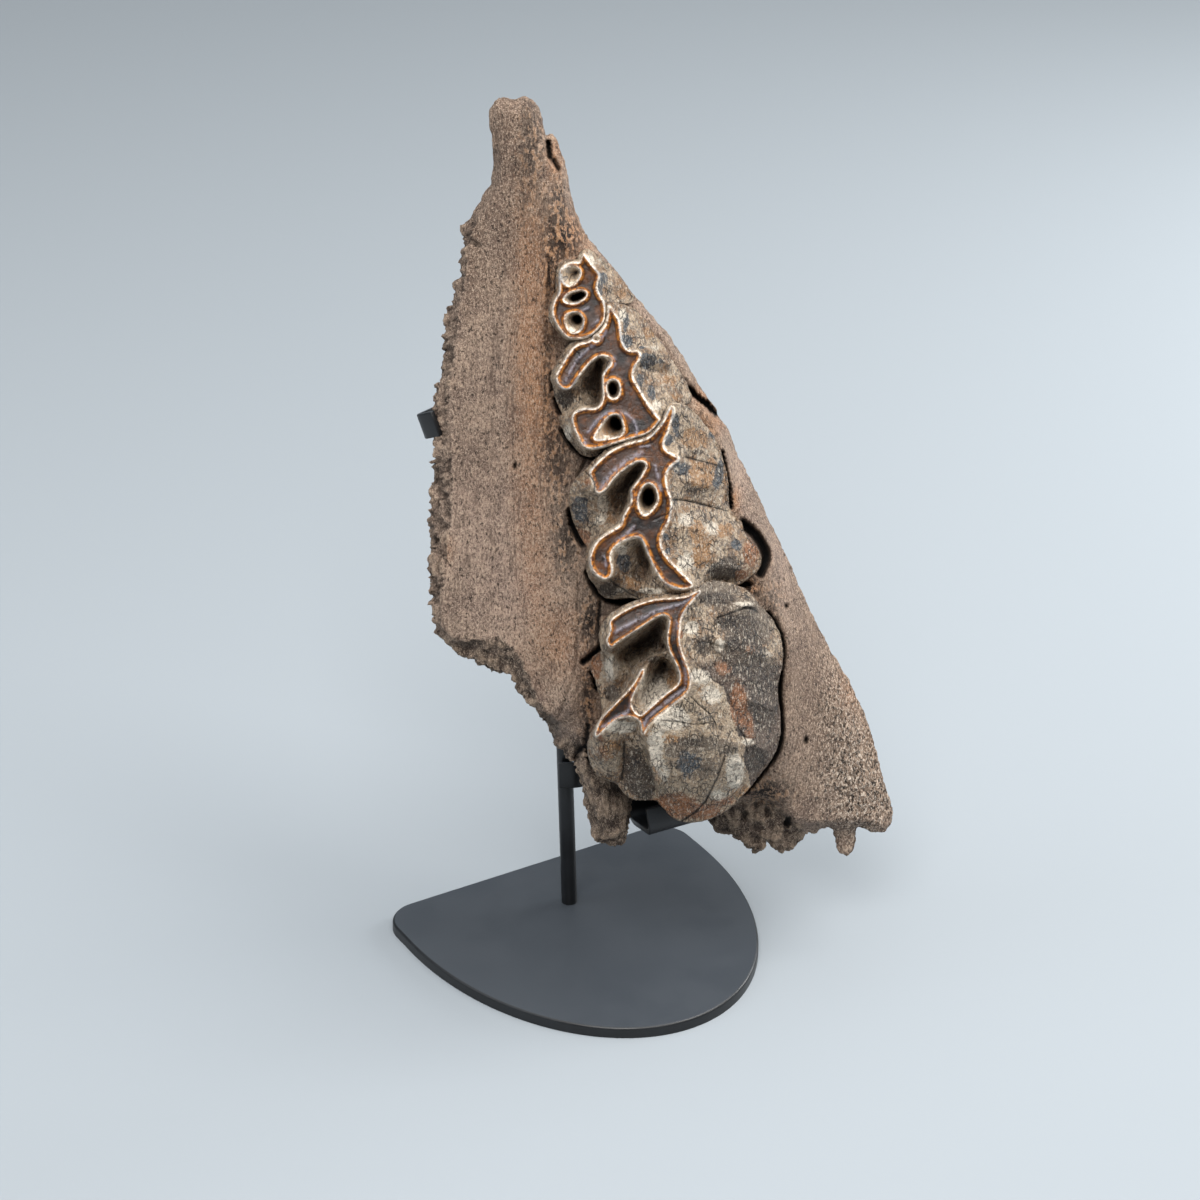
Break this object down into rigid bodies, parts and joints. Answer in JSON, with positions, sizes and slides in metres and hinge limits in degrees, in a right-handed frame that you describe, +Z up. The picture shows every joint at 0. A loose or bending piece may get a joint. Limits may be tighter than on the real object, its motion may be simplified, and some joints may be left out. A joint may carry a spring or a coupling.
{
  "type": "woolly rhinoceros upper jaw fossil on stand",
  "caption": "Fossil half upper jaw of a woolly rhinoceros with worn cheek teeth in their sockets, held upright by a small black steel rod stand with a D-shaped foot plate.",
  "frame": {"origin": "on the underside of the foot plate, straight below the foot of the rod", "axes": "+Z up along the rod and towards the front end of the jaw, the plate's straight edge at +Y and its rounded front at -Y; the chewing side of the jaw faces -Y and a little to -X"},
  "size_m": [0.1282, 0.1104, 0.2494],
  "materials": {
    "fossil_bone": "matt, porous brown fossil bone",
    "tooth_enamel": "satin cream to brown tooth enamel and dentine",
    "black_steel": "satin black paint"
  },
  "bodies": {
    "root": {"maxilla_bone": "fossil_bone", "front_premolar": "tooth_enamel", "middle_premolar": "tooth_enamel", "rear_premolar": "tooth_enamel", "molar": "tooth_enamel", "stand_base_plate": "black_steel", "stand_rod": "black_steel", "stand_upper_arm": "black_steel", "stand_lower_arm": "black_steel", "stand_saddle_hook": "black_steel"}
  },
  "joints": []
}
